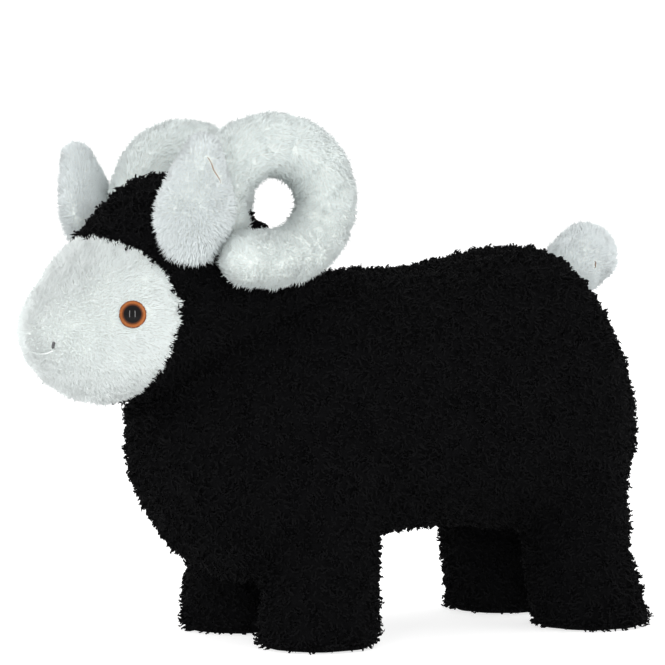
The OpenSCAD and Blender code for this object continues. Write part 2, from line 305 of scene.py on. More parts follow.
PUPIL = eye_material(
    "black_eye", [(0.0, (0.001, 0.001, 0.001)), (0.62, (0.002, 0.001, 0.001)),
                  (0.71, (0.110, 0.030, 0.008))], 0.03, 0.35)
GREY_THREAD = thread_material("grey_thread", (0.62, 0.65, 0.64), (0.76, 0.79, 0.79))
DARK_THREAD = thread_material("dark_thread", (0.03, 0.03, 0.032), (0.12, 0.12, 0.125))
SLIT_BROWN = thread_material("slit_brown", (0.16, 0.09, 0.05), (0.34, 0.22, 0.14))
WASHER = moulded_material("washer", (0.62, 0.62, 0.60), (0.74, 0.74, 0.72))


def repaint(node, material):
    """Gives a CAD node that stays in view its finished material."""
    materials = frame["nodes"][node].data.materials
    materials.clear()
    materials.append(material)


# --- Surfaces ---

class Surface:
    """A closed skin of quads: its points, faces and normals, and a label for each face."""

    def __init__(self, bm):
        bm.verts.ensure_lookup_table()
        self.points = np.array([v.co for v in bm.verts])
        self.faces = np.array([[v.index for v in f.verts] for f in bm.faces])
        self.labels = np.zeros(len(self.faces), int)
        self.refresh()

    def refresh(self):
        corners = self.points[self.faces]
        across = np.cross(corners[:, 2] - corners[:, 0], corners[:, 3] - corners[:, 1])
        normals = np.zeros_like(self.points)
        for k in range(4):
            np.add.at(normals, self.faces[:, k], across)
        self.normals = unit(normals)

    def centres(self):
        return self.points[self.faces].mean(1)

    def label(self, nodes):
        """Gives each face the index of the nearest of these CAD nodes."""
        trees = [node_tree(name) for name in nodes]
        nearest = [
            [tree.find_nearest(Vector(c))[3] for tree in trees] for c in self.centres()
        ]
        self.labels = np.argmin(np.array(nearest), axis=1)

    def seams(self, groups=None):
        """A tree of the points where two labels meet. Labels of one group count as one."""
        labels = self.labels if groups is None else np.array(groups)[self.labels]
        low = np.full(len(self.points), 10 ** 6)
        high = np.full(len(self.points), -1)
        for k in range(4):
            np.minimum.at(low, self.faces[:, k], labels)
            np.maximum.at(high, self.faces[:, k], labels)
        seam = np.where(low != high)[0]
        tree = KDTree(len(seam))
        for i in seam:
            tree.insert(self.points[i], int(i))
        tree.balance()
        return tree

    def pull_in_seams(self, depth, width, groups=None):
        away, _ = off_seam(self.seams(groups), self.points)
        self.points -= self.normals * (depth * np.exp(-(away / width) ** 2))[:, None]
        self.refresh()

    def part(self, label):
        """Points, faces and normals of the faces with this label."""
        faces = self.faces[self.labels == label]
        used = np.unique(faces)
        index = np.full(len(self.points), -1)
        index[used] = np.arange(len(used))
        return self.points[used], index[faces], self.normals[used]


def off_seam(tree, points):
    """How far each point is from the nearest seam, and which way is off it."""
    nearest = np.array([tree.find(p)[0] for p in points])
    away = points - nearest
    return np.linalg.norm(away, axis=1), unit(away)


def node_tree(name):
    mesh = frame["nodes"][name].data
    return BVHTree.FromPolygons(
        [v.co for v in mesh.vertices], [p.vertices[:] for p in mesh.polygons])


def cad_solids(nodes):
    bm = bmesh.new()
    for name in nodes:
        bm.from_mesh(frame["nodes"][name].data)
    return bm


def add_plug(bm, nodes, pivot, reach, share):
    """Fills the pit that a sewn-on piece's root leaves with a smaller copy of that root."""
    hull = bmesh.new()
    for name in nodes:
        for v in frame["nodes"][name].data.vertices:
            if (v.co - pivot).length < reach:
                hull.verts.new(pivot + (v.co - pivot) * share)
    made = bmesh.ops.convex_hull(hull, input=hull.verts)
    inside = {v for v in made["geom_interior"] if isinstance(v, bmesh.types.BMVert)}
    bmesh.ops.delete(hull, geom=list(inside), context="VERTS")
    mesh = bpy.data.meshes.new("plug")
    hull.to_mesh(mesh)
    hull.free()
    bm.from_mesh(mesh)
    bpy.data.meshes.remove(mesh)


def keep_largest(bm):
    """Deletes every island but the one with the most points."""
    seen, islands = set(), []
    for start in bm.verts:
        if start in seen:
            continue
        island, todo = [], [start]
        seen.add(start)
        while todo:
            v = todo.pop()
            island.append(v)
            for e in v.link_edges:
                other = e.other_vert(v)
                if other not in seen:
                    seen.add(other)
                    todo.append(other)
        islands.append(island)
    islands.sort(key=len)
    for island in islands[:-1]:
        bmesh.ops.delete(bm, geom=island, context="VERTS")


def with_modifiers(obj):
    """The object's mesh as its modifiers leave it, as a new bmesh."""
    bm = bmesh.new()
    bm.from_object(obj, bpy.context.evaluated_depsgraph_get())
    return bm


def scratch_object(bm):
    mesh = bpy.data.meshes.new("scratch")
    bm.to_mesh(mesh)
    bm.free()
    obj = bpy.data.objects.new("scratch", mesh)
    bpy.context.collection.objects.link(obj)
    return obj


def drop(obj):
    mesh = obj.data
    bpy.data.objects.remove(obj)
    bpy.data.meshes.remove(mesh)


def smooth(bm, rounds):
    for _ in range(rounds):
        bmesh.ops.smooth_vert(
            bm, verts=bm.verts, factor=0.5, use_axis_x=True, use_axis_y=True, use_axis_z=True)


def remeshed(bm, voxel, rounds):
    """One closed skin of even quads round the solids."""
    obj = scratch_object(bm)
    remesh = obj.modifiers.new("Remesh", "REMESH")
    remesh.mode = "VOXEL"
    remesh.voxel_size = voxel
    out = with_modifiers(obj)
    drop(obj)
    keep_largest(out)
    smooth(out, rounds)
    return out


STUFFING_PRESSURE = 4.0
STUFFING_FRAMES = 14
# The most that a point of the body's skin may move
BODY_SWELL = 0.8 * MM


def stuffed(bm, most, held):
    """Swells a skin as its stuffing does, by at most `most`. Points that held() names stay."""
    rest = np.array([v.co for v in bm.verts])
    obj = scratch_object(bm)
    pins = obj.vertex_groups.new(name="pins")
    pins.add([int(i) for i in np.where(held(rest))[0]], 1.0, "REPLACE")
    cloth = obj.modifiers.new("Cloth", "CLOTH")
    settings = cloth.settings
    settings.quality = 4
    settings.mass = 0.2
    settings.use_pressure = True
    settings.uniform_pressure_force = STUFFING_PRESSURE
    settings.tension_stiffness = 12
    settings.compression_stiffness = 12
    settings.bending_stiffness = 2
    settings.shrink_min = -0.02
    settings.vertex_group_mass = "pins"
    settings.effector_weights.gravity = 0
    cloth.collision_settings.use_collision = False
    cloth.point_cache.frame_start = 1
    cloth.point_cache.frame_end = STUFFING_FRAMES
    for step in range(1, STUFFING_FRAMES + 1):
        bpy.context.scene.frame_set(step)
    moved = with_modifiers(obj)
    bpy.context.scene.frame_set(1)
    drop(obj)
    for v, start in zip(moved.verts, rest):
        offset = v.co - Vector(start)
        if offset.length > most:
            offset *= most / offset.length
        v.co = Vector(start) + offset
    return moved


def subdivided(bm):
    obj = scratch_object(bm)
    obj.modifiers.new("Subdivision", "SUBSURF").levels = 1
    out = with_modifiers(obj)
    drop(obj)
    return out


# --- Pieces ---

def mesh_from(name, points, faces, normals=None):
    """A smooth-shaded mesh, with shading normals of its own if given."""
    mesh = bpy.data.meshes.new(name)
    sides = faces.shape[1]
    mesh.vertices.add(len(points))
    mesh.vertices.foreach_set("co", points.astype(np.float32).ravel())
    mesh.loops.add(faces.size)
    mesh.loops.foreach_set("vertex_index", faces.astype(np.int32).ravel())
    mesh.polygons.add(len(faces))
    mesh.polygons.foreach_set("loop_start", np.arange(0, faces.size, sides, dtype=np.int32))
    mesh.update(calc_edges=True)
    mesh.shade_smooth()
    if normals is not None:
        mesh.normals_split_custom_set_from_vertices(normals.astype(np.float32))
    return mesh


def add_values(mesh, name, values):
    attribute = mesh.attributes.new(name, "FLOAT", "POINT")
    attribute.data.foreach_set("value", values.astype(np.float32))


def piece(name, mesh, material, record_slot, body, *nodes):
    """A visible piece that stands for CAD nodes, if it names any, and rides on a body.

    body is None for a piece that rides on no body; hang() then bakes its placement in.
    """
    obj = bpy.data.objects.new(name, mesh)
    bpy.context.collection.objects.link(obj)
    mesh.materials.append(material)
    if nodes:
        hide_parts(*nodes)
    if body in frame["bodies"]:
        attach(obj, body)
    return obj


# --- Pile ---

def scatter(points, faces, normals, per_mm2, rng):
    """Even random places on a skin: where, and which way is out."""
    tris = np.concatenate([faces[:, [0, 1, 2]], faces[:, [0, 2, 3]]])
    corners = points[tris]
    area = np.linalg.norm(
        np.cross(corners[:, 1] - corners[:, 0], corners[:, 2] - corners[:, 0]), axis=1) / 2
    ends = np.cumsum(area)
    count = int(ends[-1] / MM ** 2 * per_mm2)
    spots = (np.arange(count) + rng.uniform(0, 1, count)) * ends[-1] / count
    chosen = tris[np.searchsorted(ends, spots).clip(0, len(tris) - 1)]
    a, b = rng.uniform(0, 1, (2, count, 1))
    over = a + b > 1
    a, b = np.where(over, 1 - a, a), np.where(over, 1 - b, b)

    def mix(values):
        first, second, third = (values[chosen[:, k]] for k in range(3))
        return first * (1 - a - b) + second * a + third * b

    return mix(points), unit(mix(normals))


# The share of its radius that a fibre loses by its tip
TAPER = 0.7
# The least and most that a fibre may lie over, as a share of its length
LEAN_RANGE = (0.02, 0.97)


def fibres(name, roots, normals, lean, length, radius, curl, turns, rings, rng, softness, shade):
    """Closed three-sided fibres that taper to a point, as one mesh.

    lean holds the way that each tip lies over along the skin, and its length is how far, as a
    share of the fibre's. curl is the radius of a fibre's curl, and softness is how far its
    shading follows the skin's.
    """
    count = len(roots)
    spread = np.clip(np.linalg.norm(lean, axis=1, keepdims=True), *LEAN_RANGE)
    along = unit(tangent(lean + 1e-6 * rng.normal(size=lean.shape), normals))
    side = np.cross(normals, along)
    t = np.linspace(0, 1, rings + 1)
    size = length[:, None]
    phase = rng.uniform(0, 2 * math.pi, (count, 1))
    rise = np.sqrt(1 - spread ** 2)
    path = []
    for share in t:
        turn = phase + 2 * math.pi * turns * share
        loop = curl * share * (
            (np.cos(turn) - np.cos(phase)) * side
            + (np.sin(turn) - np.sin(phase)) * (0.6 * normals + 0.8 * along))
        height = rise * (1 - (1 - share) ** 2)
        path.append(roots + size * (height * normals + spread * share ** 1.4 * along) + size * loop)
    path = np.stack(path, 1)
    path[:, :, 2] = np.maximum(path[:, :, 2], FLOOR_CLEARANCE)
    ahead = unit(np.diff(path, axis=1, append=path[:, -1:] + path[:, -1:] - path[:, -2:-1]))
    over = unit(np.cross(ahead, side[:, None] + 0 * ahead))
    beside = np.cross(over, ahead)
    points, outward = [], []
    for k in range(rings):
        width = radius * (1 - TAPER * t[k])
        for j in range(3):
            turn = 2 * math.pi * j / 3 + 0.5
            out = math.cos(turn) * beside[:, k] + math.sin(turn) * over[:, k]
            points.append(path[:, k] + width * out)
            outward.append(out)
    points.append(path[:, -1])
    outward.append(ahead[:, -2])
    points = np.stack(points, 1)
    outward = np.stack(outward, 1)
    points[:, :, 2] = np.maximum(points[:, :, 2], FLOOR_CLEARANCE / 2)
    shading = unit(outward + softness * normals[:, None])
    per = 3 * rings + 1
    pattern = [[0, 2, 1]]
    for k in range(rings - 1):
        for j in range(3):
            a, b = 3 * k + j, 3 * k + (j + 1) % 3
            pattern += [[a, b, a + 3], [b, b + 3, a + 3]]
    last = 3 * (rings - 1)
    pattern += [[last + j, last + (j + 1) % 3, per - 1] for j in range(3)]
    faces = (np.arange(count) * per)[:, None, None] + np.array(pattern)[None]
    mesh = mesh_from(name, points.reshape(-1, 3), faces.reshape(-1, 3), shading.reshape(-1, 3))
    heights = np.concatenate([np.repeat(t[:rings], 3), [1.0]])
    add_values(mesh, "height", np.tile(heights, count))
    add_values(mesh, "shade", np.repeat(shade, per))
    return mesh


class Skin:
    """A finished skin that the roots of other pile are tested against."""

    def __init__(self, surface):
        self.tree = BVHTree.FromPolygons(
            [Vector(p) for p in surface.points], [tuple(map(int, f)) for f in surface.faces])
        self.low = surface.points.min(0)
        self.high = surface.points.max(0)

    def clear_of(self, points, margin):
        """True where a point is outside the skin and at least margin away from it."""
        keep = np.ones(len(points), bool)
        near = ((points > self.low - margin) & (points < self.high + margin)).all(1)
        for i in np.where(near)[0]:
            place, normal, _, distance = self.tree.find_nearest(Vector(points[i]))
            inside = (Vector(points[i]) - place).dot(normal) < 0
            keep[i] = not inside and distance > margin
        return keep


# --- Camera, light and floor ---

VIEW_TURN = math.radians(-32.0)
VIEW_RISE = math.radians(2.5)
VIEW_DISTANCE = 1.4
LENS_MM = 159.2
SENSOR_MM = 36
# The view's middle: forward of the legs' middle and above it, across and up the picture
VIEW_MIDDLE = Vector((0.043, 0.0, 0.120))
VIEW_ACROSS = -0.0393
VIEW_UP = 0.0202

WORLD_STRENGTH = 1.16
# The floor is lit from below, as on a product table, so shadows on it stay faint
FLOOR_GLOW = 0.72
FLOOR_HALF = 30
# Degrees round from the view, degrees up, metres away, width, height and watts
SOFTBOXES = {
    "strip_left": (-11, 6, 1.3, 0.048, 0.7, 2.8),
    "strip_right": (11, 6, 1.3, 0.048, 0.7, 2.8),
    "fill_left": (-80, 35, 1.5, 1.2, 1.2, 4.0),
    "fill_right": (85, 35, 1.5, 1.2, 1.2, 4.0),
}
# What the softboxes face
LIT_MIDDLE = Vector((-0.05, 0, 0.12))


def view_axes(turn, rise):
    """Across, up and back for a camera that looks along +Y at turn 0."""
    back = Vector((
        math.sin(turn) * math.cos(rise), -math.cos(turn) * math.cos(rise), math.sin(rise)))
    across = Vector((math.cos(turn), math.sin(turn), 0))
    return across, back.cross(across), back


def add_camera():
    across, up, back = view_axes(VIEW_TURN, VIEW_RISE)
    data = bpy.data.cameras.new("camera")
    data.lens = LENS_MM
    data.sensor_width = SENSOR_MM
    camera = bpy.data.objects.new("camera", data)
    bpy.context.collection.objects.link(camera)
    camera.location = VIEW_MIDDLE + VIEW_DISTANCE * back
    aim = VIEW_MIDDLE + VIEW_ACROSS * across + VIEW_UP * up
    camera.rotation_euler = (aim - camera.location).to_track_quat("-Z", "Y").to_euler()
    bpy.context.scene.camera = camera


def add_softbox(name, turn, rise, distance, width, height, power):
    _, _, back = view_axes(math.radians(turn), math.radians(rise))
    data = bpy.data.lights.new(name, "AREA")
    data.shape = "RECTANGLE"
    data.size = width
    data.size_y = height
    data.energy = power
    light = bpy.data.objects.new(name, data)
    bpy.context.collection.objects.link(light)
    light.location = LIT_MIDDLE + distance * back
    light.rotation_euler = (-back).to_track_quat("-Z", "Y").to_euler()


def add_studio():
    scene = bpy.context.scene
    scene.view_settings.view_transform = "Standard"
    world = bpy.data.worlds.new("studio")
    scene.world = world
    world.use_nodes = True
    background = world.node_tree.nodes["Background"]
    background.inputs["Color"].default_value = (1, 1, 1, 1)
    background.inputs["Strength"].default_value = WORLD_STRENGTH
    for name, (turn, *rest) in SOFTBOXES.items():
        add_softbox(name, math.degrees(VIEW_TURN) + turn, *rest)

    material, nodes, links, shader = new_material("floor")
    grain = object_noise(nodes, links, 6.0)
    ramp = colour_ramp(nodes, [(0.3, (0.48, 0.48, 0.48)), (0.7, (0.50, 0.50, 0.50))])
    links.new(grain.outputs["Fac"], ramp.inputs["Fac"])
    links.new(ramp.outputs["Color"], shader.inputs["Base Color"])
    shader.inputs["Emission Color"].default_value = (1, 1, 1, 1)
    shader.inputs["Emission Strength"].default_value = FLOOR_GLOW
    shader.inputs["Roughness"].default_value = 0.9
    shader.inputs["Specular IOR Level"].default_value = 0.1
    bm = bmesh.new()
    bmesh.ops.create_grid(bm, x_segments=1, y_segments=1, size=FLOOR_HALF)
    mesh = bpy.data.meshes.new("floor")
    bm.to_mesh(mesh)
    bm.free()
    mesh.materials.append(material)
    floor = bpy.data.objects.new("floor", mesh)
    bpy.context.collection.objects.link(floor)


add_camera()
add_studio()


# --- Sewn-on pods: horns, ears and tail ---

class Pod:
    """A stuffed piece sewn on at a pivot: its two panels, its filling and its skin."""

    def __init__(self, body, joint, nodes, filling):
        self.body = body
        self.nodes = nodes
        self.filling = filling
        self.pivot = Vector(joint_named(joint)["pos_m"])
        skin = remeshed(cad_solids(nodes + [filling]), POD_VOXEL, POD_SMOOTHING)
        self.surface = Surface(skin)
        skin.free()
        self.surface.label(nodes)
        self.low = self.surface.points.min(0)
        self.high = self.surface.points.max(0)
        self.middle = (self.low + self.high) / 2


# How far the middle of a horn's tube is from the middle of its loop
HORN_LOOP = 25 * MM
CREASE_DEPTH = 1.3 * MM
# Degrees round the loop from one gather to the next
CREASE_PITCH = 24


def horn_creases(pod, seed):
    """Gathers across a horn's tube, deepest on the inside of its loop."""
    surface = pod.surface
    rng = np.random.default_rng(seed)
    from_middle = surface.points - pod.middle
    angle = np.degrees(np.arctan2(from_middle[:, 2], from_middle[:, 0]))
    reach = np.hypot(from_middle[:, 0], from_middle[:, 2])
    inner = np.clip((HORN_LOOP - reach) / (13 * MM) * 0.4 + 0.75, 0.4, 1.0)
    sink = np.zeros(len(angle))
    places = np.arange(-180, 180, CREASE_PITCH)
    for number, place in enumerate(places + rng.uniform(-7, 7, len(places))):
        off = (angle - place + 180) % 360 - 180
        off = off + 5 * wobble(surface.points, 18 * MM, seed + 50 + number)
        width = rng.uniform(1.8, 2.8)
        sink = np.maximum(sink, rng.uniform(0.5, 1.0) * np.exp(-(off / width) ** 2))
    swell = 0.5 * MM * wobble(surface.points, 16 * MM, seed + 1)
    surface.points += surface.normals * (swell - CREASE_DEPTH * sink * inner)[:, None]
    surface.refresh()


def horn_flow(pod, points, normals):
    """Along the tube, from the root round to the tip."""
    from_middle = points - pod.middle
    from_middle[:, 1] = 0
    return unit(tangent(np.cross(unit(from_middle), LEFTWARD), normals))


pods = {}
for side in SIDES:
    pods["horn_" + side] = Pod(
        side + "_horn", side + "_horn_flex",
        [f"horn_{side}_outer_panel", f"horn_{side}_inner_panel"], f"horn_{side}_filling")
    pods["ear_" + side] = Pod(
        side + "_ear", side + "_ear_flex",
        [f"ear_{side}_front_panel", f"ear_{side}_back_panel"], f"ear_{side}_padding")
    horn_creases(pods["horn_" + side], 11 + SIDES[side])
pods["tail"] = Pod("tail", "tail_flex", ["tail_panel_left", "tail_panel_right"], "tail_filling")
for pod in pods.values():
    pod.surface.pull_in_seams(POD_SEAM_DEPTH, POD_SEAM_WIDTH)
skins = {name: Skin(pod.surface) for name, pod in pods.items()}


def clear_of_pods(roots, margin):
    """True for each root that no pod's skin covers."""
    return np.all([skin.clear_of(roots, margin) for skin in skins.values()], axis=0)


# --- The body and head as one skin, labelled by panel ---

# How far round its pivot a pod's root is copied as a plug, and how large the copy is
PLUG_REACH = {"horn": 15.5 * MM, "ear": 12.0 * MM, "tail": 16.5 * MM}
PLUG_SHARE = 0.86
FOOT_TOP = 12 * MM
# What the stuffing leaves still: this much of the muzzle, and this far round each pivot
MUZZLE_HELD = 22 * MM
ROOT_HELD = 17 * MM
# How much of the muzzle, from its front, can have the mouth on it
MOUTH_REACH = 25 * MM
MOUTH_DEPTH = 0.3 * MM
MOUTH_WIDTH = 1.5 * MM

panel_nodes = BODY + HOOD + FACE + SOLES
solids = cad_solids(panel_nodes + ["body_filling", "head_filling"])
for name, pod in pods.items():
    add_plug(solids, pod.nodes, pod.pivot, PLUG_REACH[name.split("_")[0]], PLUG_SHARE)
whole = remeshed(solids, BODY_VOXEL, BODY_SMOOTHING)
face_low, face_high = corner_box(FACE)


def held_still(points):
    """The feet, the muzzle and the roots of the pods keep their shape."""
    still = (points[:, 2] < FOOT_TOP) | (points[:, 0] < face_low[0] + MUZZLE_HELD)
    for pod in pods.values():
        still |= np.linalg.norm(points - np.array(pod.pivot), axis=1) < ROOT_HELD
    return still


whole = subdivided(stuffed(whole, BODY_SWELL, held_still))
smooth(whole, 1)
body = Surface(whole)
whole.free()
body.label(panel_nodes)
# The two face panels meet down the muzzle in a seam that the pile hides
panel_groups = [
    panel_nodes.index("face_left") if name in FACE else index
    for index, name in enumerate(panel_nodes)]
body_seams = body.seams(panel_groups)
body.pull_in_seams(SEAM_DEPTH, SEAM_WIDTH, panel_groups)

# The mouth's thread draws the cloth in
mouth = node_tree("mouth_thread")
for i in np.where(body.points[:, 0] < face_low[0] + MOUTH_REACH)[0]:
    off = mouth.find_nearest(Vector(body.points[i]))[3]
    body.points[i] -= body.normals[i] * MOUTH_DEPTH * math.exp(-(off / MOUTH_WIDTH) ** 2)
body.points[:, 2] = np.maximum(body.points[:, 2], FLOOR_CLEARANCE)
body.refresh()

fillings = {"body_side_left": ["body_filling"], "face_left": ["head_filling"]}
for index, name in enumerate(panel_nodes):
    points, faces, normals = body.part(index)
    white = name in FACE
    cloth = piece(
        name + "_cloth", mesh_from(name + "_cloth", points, faces),
        WHITE_CLOTH if white else FLEECE_CLOTH,
        "white_plush" if white else "sole_fleece" if name in SOLES else "black_fleece",
        "ram", name, *fillings.get(name, []))


def held_to(lean, most):
    """The lean, shortened where it is longer than `most`."""
    length = np.linalg.norm(lean, axis=1, keepdims=True)
    return lean * np.clip(most / np.maximum(length, 0.2), 0, 1)


# One fibre in this many is the middle of a lock that its neighbours curl in to
LOCK_FIBRES = 6
LOCK_REACH = 3.0 * MM


def locks(points, rng):
    """The way from each root to the middle of its lock, and how long that lock is."""
    middles = rng.choice(len(points), max(1, len(points) // LOCK_FIBRES), replace=False)
    tree = KDTree(len(middles))
    for number, i in enumerate(middles):
        tree.insert(points[i], number)
    tree.balance()
    found = [tree.find(p)[1] for p in points]
    sizes = rng.uniform(0.72, 1.3, len(middles))
    return (points[middles][found] - points) / LOCK_REACH, sizes[found]


def fleece_lean(points, normals, to_lock, rng):
    """Curls fall every way in small locks, with a slight set towards the tail and the floor."""
    lean = 0.5 * drift(points, 8 * MM, 21) + 0.15 * rng.normal(size=points.shape) + 0.9 * to_lock
    lean += np.array([0.2, 0, -0.22])
    return held_to(tangent(lean, normals), 0.85)


FLEECE_PER_MM2 = 0.30
FLEECE_RADIUS = 0.82 * MM
FLEECE_CURL = 0.26
FLEECE_TURNS = 1.15
FLEECE_RINGS = 4
# How far fleece and face pile keep off the pods' skins
FLEECE_CLEARANCE = 0.4 * MM
FACE_CLEARANCE = 0.3 * MM
# How deep a fleece fibre starts under the cloth
FLEECE_SINK = 0.5 * MM
# How far from a seam the pile is pressed away from it and painted lighter, as a painted highlight
# on the seam's ridge
SEAM_REACH = 3.5 * MM
# How far from the face's edge the crown's fleece falls over it
FRINGE_REACH = 6 * MM


def fleece_pieces(name, index, record_slot, cuts):
    """Curly locks over one black panel, cut along X so that no piece is too heavy."""
    rng = np.random.default_rng(100 + index)
    points, faces, normals = body.part(index)
    roots, out = scatter(points, faces, normals, FLEECE_PER_MM2, rng)
    keep = clear_of_pods(roots, FLEECE_CLEARANCE)
    if name in SOLES:
        # no pile under the foot
        keep &= out[:, 2] > -0.5
    roots, out = roots[keep], out[keep]
    to_lock, lock_size = locks(roots, rng)
    lean = fleece_lean(roots, out, to_lock, rng)
    distance, away = off_seam(body_seams, roots)
    by_seam = np.clip(1 - distance / SEAM_REACH, 0, 1) if name in BODY else np.zeros(len(roots))
    lean = lean * (1 - by_seam[:, None]) + 0.8 * by_seam[:, None] * unit(tangent(away, out))
    overhang = np.zeros(len(roots))
    if name in HOOD:
        # the crown's fleece falls over the edge of the face in tufts
        overhang = np.clip(1 - distance / FRINGE_REACH, 0, 1)
        overhang = overhang * (roots[:, 0] < face_high[0] + FRINGE_REACH)
        overhang *= np.clip(0.6 + 0.8 * wobble(roots, 9 * MM, 75), 0, 1)
        lean = lean * (1 - overhang[:, None]) - 0.8 * overhang[:, None] * unit(tangent(away, out))
    if name in SOLES:
        # the rim's fleece sticks out all round the foot
        lean *= 0.4
    foot = np.clip(1 - roots[:, 2] / FOOT_TOP, 0, 1)
    length = rng.uniform(2.2, 3.2, len(roots)) * (1 + 0.5 * foot + 0.6 * overhang) * MM
    length *= lock_size * (1 + 0.2 * wobble(roots, 12 * MM, 71))
    # Fibres near a body seam are painted lighter: a painted highlight where the seam's ridge
    # catches the light. The rest is random tone.
    shade = rng.uniform(0.7, 0.95, len(roots)) + 0.35 * by_seam
    order = np.argsort(roots[:, 0])
    for part, chosen in enumerate(np.array_split(order, cuts)):
        label = f"{name}_pile_{part + 1}" if cuts > 1 else f"{name}_pile"
        mesh = fibres(
            label, roots[chosen] - out[chosen] * FLEECE_SINK, out[chosen], lean[chosen],
            length[chosen], FLEECE_RADIUS, FLEECE_CURL, FLEECE_TURNS, FLEECE_RINGS, rng, 1.0,
            shade[chosen])
        piece(label, mesh, FLEECE_PILE, record_slot, "ram")


for index, name in enumerate(panel_nodes):
    if name in BODY + HOOD:
        fleece_pieces(name, index, "black_fleece", 2 if name in BODY else 1)
    elif name in SOLES:
        fleece_pieces(name, index, "sole_fleece", 1)


# --- Eyes ---

LATHE_SEGMENTS = 96


def lathe(name, origin, axis, profile, radius):
    """A turned piece from (radius, height) pairs, with the share of the radius on each point."""
    axis = np.array(axis)
    across = unit(np.cross(axis, UP))
    beside = np.cross(axis, across)
    points, shares = [], []
    for r, h in profile:
        for k in range(LATHE_SEGMENTS):
            turn = 2 * math.pi * k / LATHE_SEGMENTS
            out = math.cos(turn) * across + math.sin(turn) * beside
            points.append(np.array(origin) + h * axis + r * out)
            shares.append(r / radius)
    faces = []
    for i in range(len(profile) - 1):
        for k in range(LATHE_SEGMENTS):
            a, b = (i * LATHE_SEGMENTS + j % LATHE_SEGMENTS for j in (k, k + 1))
            faces.append([a, b, b + LATHE_SEGMENTS, a + LATHE_SEGMENTS])
    mesh = mesh_from(name, np.array(points), np.array(faces))
    add_values(mesh, "radius", np.array(shares))
    return mesh


# The dome's height at its rim, and how far its middle stands over that
DOME_RIM = 0.8 * MM
DOME_RISE = 3.0 * MM
# The pupil's radius as a share of the eye's
PUPIL_SHARE = 0.73
# The dome is set a little into the cloth, as its washer pulls it
EYE_SINK = 0.3 * MM


def dome(radius, low, high, steps):
    """(radius, height) pairs over the dome between two shares of its radius."""
    shares = np.linspace(low, high, steps)
    return [(radius * s, DOME_RIM + DOME_RISE * math.sqrt(max(0.0, 1 - s * s))) for s in shares]


eyes = {}
for side in SIDES:
    iris, pupil, washer = (f"eye_{part}_{side}" for part in ("iris", "pupil", "washer"))
    middle = sum(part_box(iris), Vector()) / 2
    ring = node_points(iris)
    from_mean = ring - ring.mean(0)
    axis = Vector(ring.mean(0) - node_points(washer).mean(0)).normalized()
    heights = from_mean @ np.array(axis)
    middle_height = (np.array(middle) - ring.mean(0)) @ np.array(axis)
    origin = middle + axis * (heights.min() - EYE_SINK - middle_height)
    off_axis = from_mean - heights[:, None] * np.array(axis)
    radius = float(np.linalg.norm(off_axis, axis=1).max())
    eyes[side] = (np.array(origin), np.array(axis), radius)
    rim = [(radius * PUPIL_SHARE * 0.98, 0), (radius * 0.9, -0.2 * MM), (radius, 0.15 * MM)]
    outer = dome(radius, 0.995, PUPIL_SHARE, 14)
    inner = [(radius * PUPIL_SHARE * 0.98, DOME_RIM + DOME_RISE * 0.6), rim[0]]
    piece(f"eye_iris_{side}_amber", lathe(
        f"eye_iris_{side}_amber", origin, axis, rim + outer + inner, radius),
        AMBER, "amber_eye", "ram", iris)
    back = [(0.02 * MM, 0.1 * MM), (radius * PUPIL_SHARE * 0.97, 0.1 * MM)]
    piece(f"eye_pupil_{side}_black", lathe(
        f"eye_pupil_{side}_black", origin, axis,
        back + dome(radius, PUPIL_SHARE - 0.004, 0.002, 20), radius),
        PUPIL, "black_eye", "ram", pupil)
    repaint(washer, WASHER)
    repaint("mouth_stitch_" + side, DARK_THREAD)
repaint("mouth_thread", GREY_THREAD)


# --- White pile ---

NOSE_HEIGHT = 143 * MM
nose = np.array([face_low[0], 0, NOSE_HEIGHT])


def near_stitches(points):
    """How far each point is from the mouth's stitches, and which way is away."""
    trees = [node_tree("mouth_stitch_" + side) for side in SIDES]
    distance = np.full(len(points), 1.0)
    away = np.zeros_like(points)
    for i in np.where(points[:, 0] < face_low[0] + MOUTH_REACH)[0]:
        for tree in trees:
            place, _, _, found = tree.find_nearest(Vector(points[i]))
            if found < distance[i]:
                distance[i] = found
                away[i] = points[i] - np.array(place)
    return distance, unit(away)


FACE_PER_MM2 = 2.3
FACE_CURL = 0.05
POD_CURL = 0.06
WHITE_RADIUS = 0.27 * MM
WHITE_TURNS = 0.6
WHITE_RINGS = 2
WHITE_SOFTNESS = 7.0
# How deep a white fibre starts under the cloth
WHITE_SINK = 0.3 * MM
# The share of the fibres that stand up, a little longer
STRAYS = 0.12
# Where pile keeps off a stitch or a closing thread
THREAD_GAP = 0.35 * MM
# How far round an eye the pile stands up
EYE_RUFF = 2.2 * MM


def white_lean(count, rng):
    """How far the white pile lies over, and a factor for its lengths."""
    stray = rng.uniform(0, 1, (count, 1)) < STRAYS
    lean = np.where(stray, 0.3, 1) * rng.uniform(0.4, 0.82, (count, 1))
    return lean, np.where(stray[:, 0], 1.2, 1.0)


def white_fibres(name, roots, out, lean, length, curl, rng):
    """Fine pile, almost straight."""
    shade = rng.uniform(0.94, 1.0, len(roots))
    return fibres(
        name, roots - out * WHITE_SINK, out, lean, length, WHITE_RADIUS, curl, WHITE_TURNS,
        WHITE_RINGS, rng, WHITE_SOFTNESS, shade)


